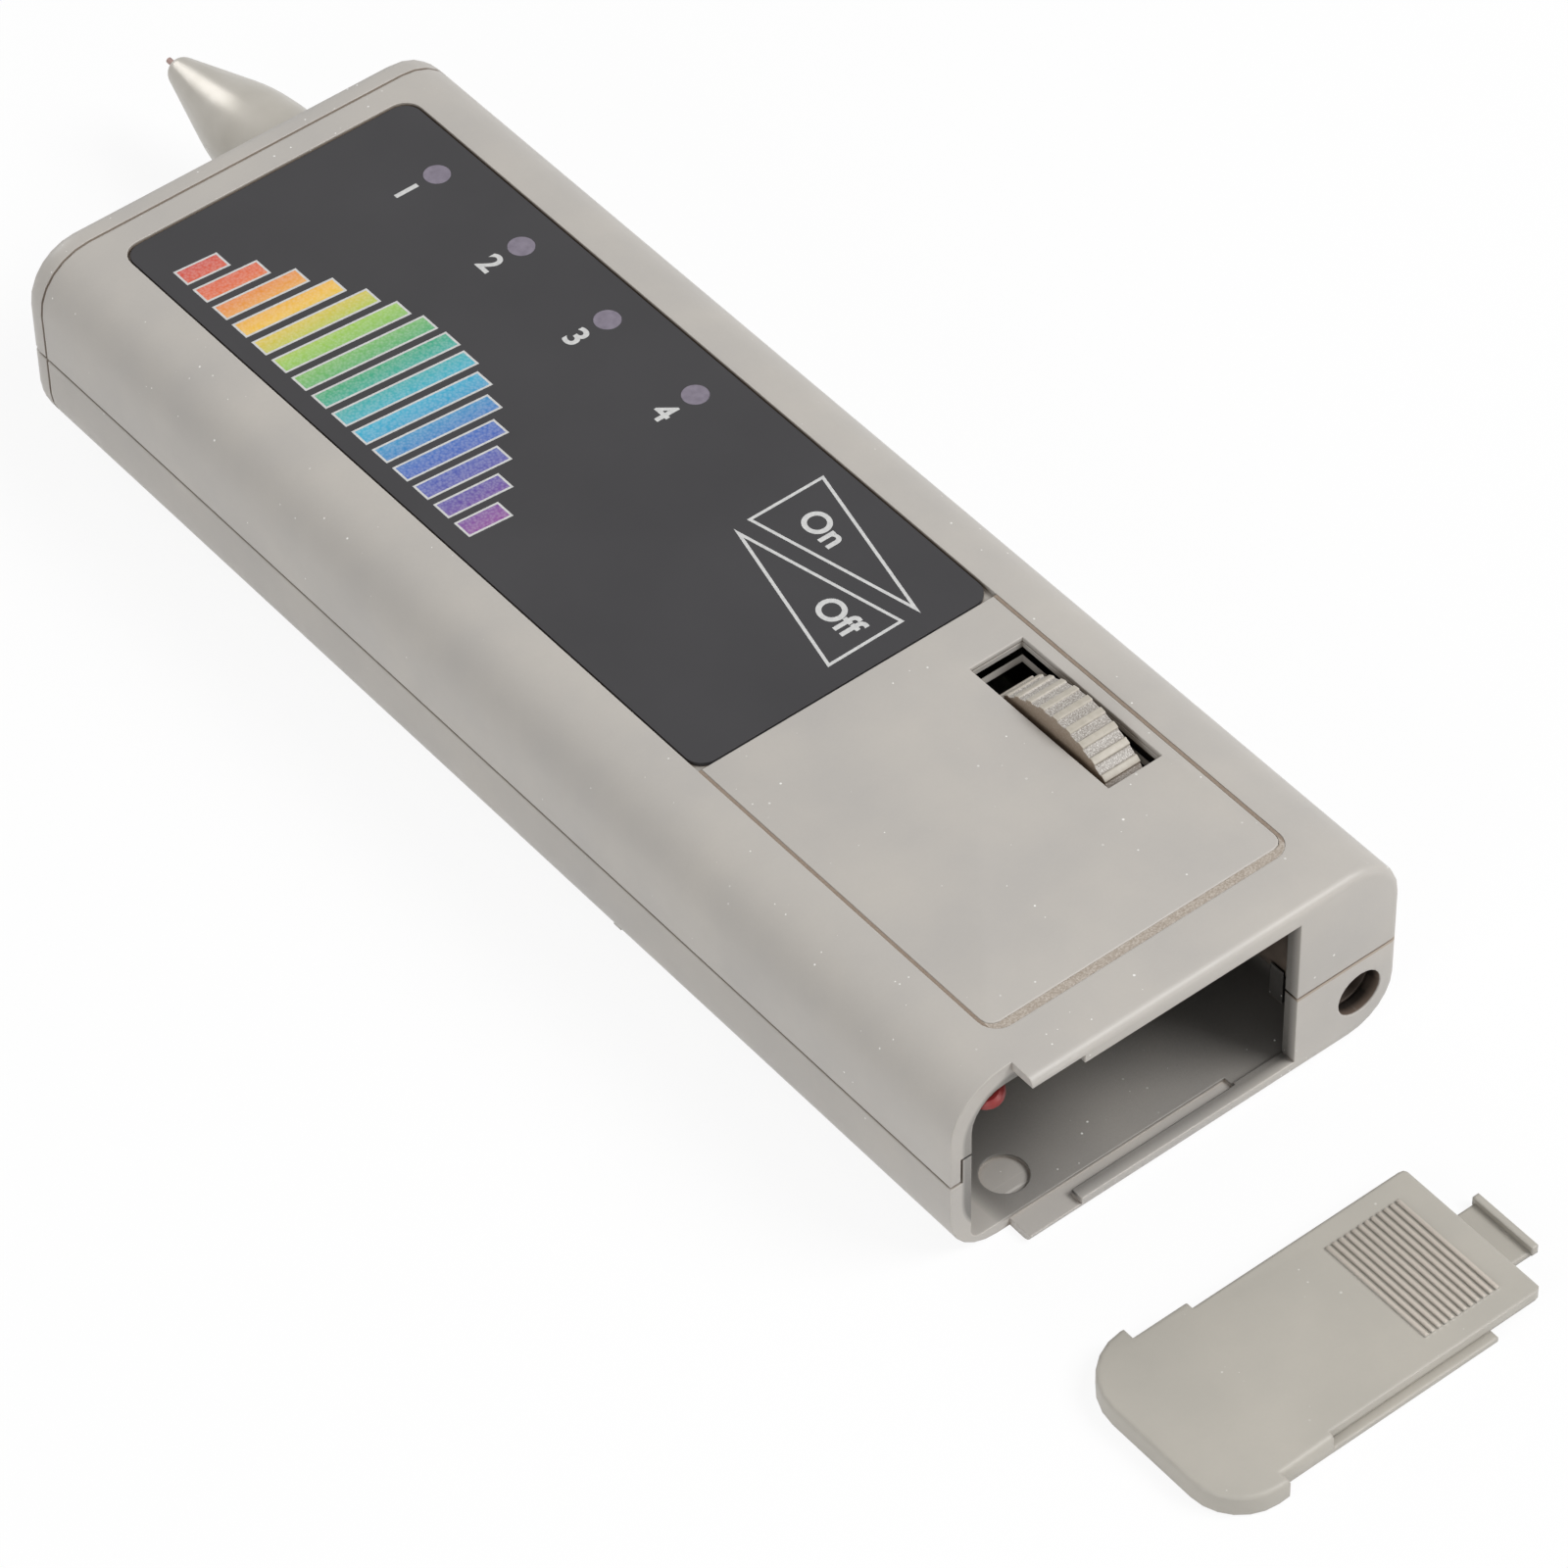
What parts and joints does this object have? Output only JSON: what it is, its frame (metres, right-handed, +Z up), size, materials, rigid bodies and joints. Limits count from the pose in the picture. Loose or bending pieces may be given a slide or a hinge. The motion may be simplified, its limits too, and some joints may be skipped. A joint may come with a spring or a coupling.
{
  "type": "diamond tester",
  "caption": "Hand-held gemstone heat tester: a long rounded grey case with a conical probe, a row of lamps, a thumbwheel switch and a battery bay, its cover lying beside it.",
  "frame": {"origin": "middle of the case's flat underside", "axes": "+Y along the case towards the probe, +X towards the side with the thumbwheel and the adapter jack, +Z up out of the printed face"},
  "size_m": [0.0581, 0.2319, 0.027],
  "materials": {
    "case_plastic": "fine-grained warm grey moulding",
    "label_film": "dark printed film",
    "window_film": "translucent grey film",
    "probe_paint": "smooth satin moulding",
    "copper": "bare copper, a little darkened",
    "steel": "plain plated steel",
    "board_laminate": "green solder mask",
    "black_plastic": "black moulding",
    "lamp_resin": "clear tinted resin",
    "part_body": "blue sleeve",
    "insulator": "pale ceramic-like body",
    "red_rubber": "soft wire sleeve",
    "black_rubber": "soft sleeve"
  },
  "bodies": {
    "case": {"upper_shell": "case_plastic", "lower_shell": "case_plastic", "switch_panel": "case_plastic", "face_label": "label_film", "led_window_1": "window_film", "led_window_2": "window_film", "led_window_3": "window_film", "led_window_4": "window_film", "probe_nose": "probe_paint", "tip_spring": "steel", "touch_plate": "steel", "plate_contact": "steel", "jack_pin": "steel", "snap_stud": "steel", "snap_socket": "steel", "case_screw_1": "steel", "case_screw_2": "steel", "case_screw_3": "steel", "case_screw_4": "steel", "board_screw_1": "steel", "board_screw_2": "steel", "board_screw_3": "steel", "board_screw_4": "steel", "circuit_board": "board_laminate", "rotary_switch": "black_plastic", "amplifier_chip": "black_plastic", "comparator_chip": "black_plastic", "buzzer": "black_plastic", "adapter_jack": "black_plastic", "transistor_1": "black_plastic", "transistor_2": "black_plastic", "led_1": "lamp_resin", "led_2": "lamp_resin", "led_3": "lamp_resin", "led_4": "lamp_resin", "capacitor_1": "part_body", "capacitor_2": "part_body", "capacitor_3": "part_body", "trimmer_1": "part_body", "trimmer_2": "part_body", "probe_guide": "insulator", "probe_plug": "insulator", "resistor_1": "insulator", "resistor_2": "insulator", "resistor_3": "insulator", "resistor_4": "insulator", "red_lead": "red_rubber", "probe_lead_1": "red_rubber", "probe_lead_2": "red_rubber", "black_lead": "black_rubber", "battery_snap": "black_rubber"},
    "wheel": {"power_wheel": "case_plastic", "wheel_axle": "steel"},
    "tip": {"probe_tip": "copper", "tip_heater": "insulator"},
    "cover": {"battery_cover": "case_plastic"}
  },
  "joints": [
    {"name": "wheel_turn", "type": "hinge", "parent": "case", "child": "wheel", "pos_m": [0.0139, -0.0466, 0.015], "axis": [-1, 0, 0], "range_deg": [0, 300]},
    {"name": "tip_press", "type": "slide", "parent": "case", "child": "tip", "axis": [0, -1, 0], "range_m": [0, 0.0007], "stiffness_N_per_m": 800, "springref_m": -0.001, "deforming": ["tip_spring"]},
    {"name": "cover_lift", "type": "slide", "parent": "case", "child": "cover", "axis": [0, 0, 1], "range_m": [0, 0.06]}
  ]
}
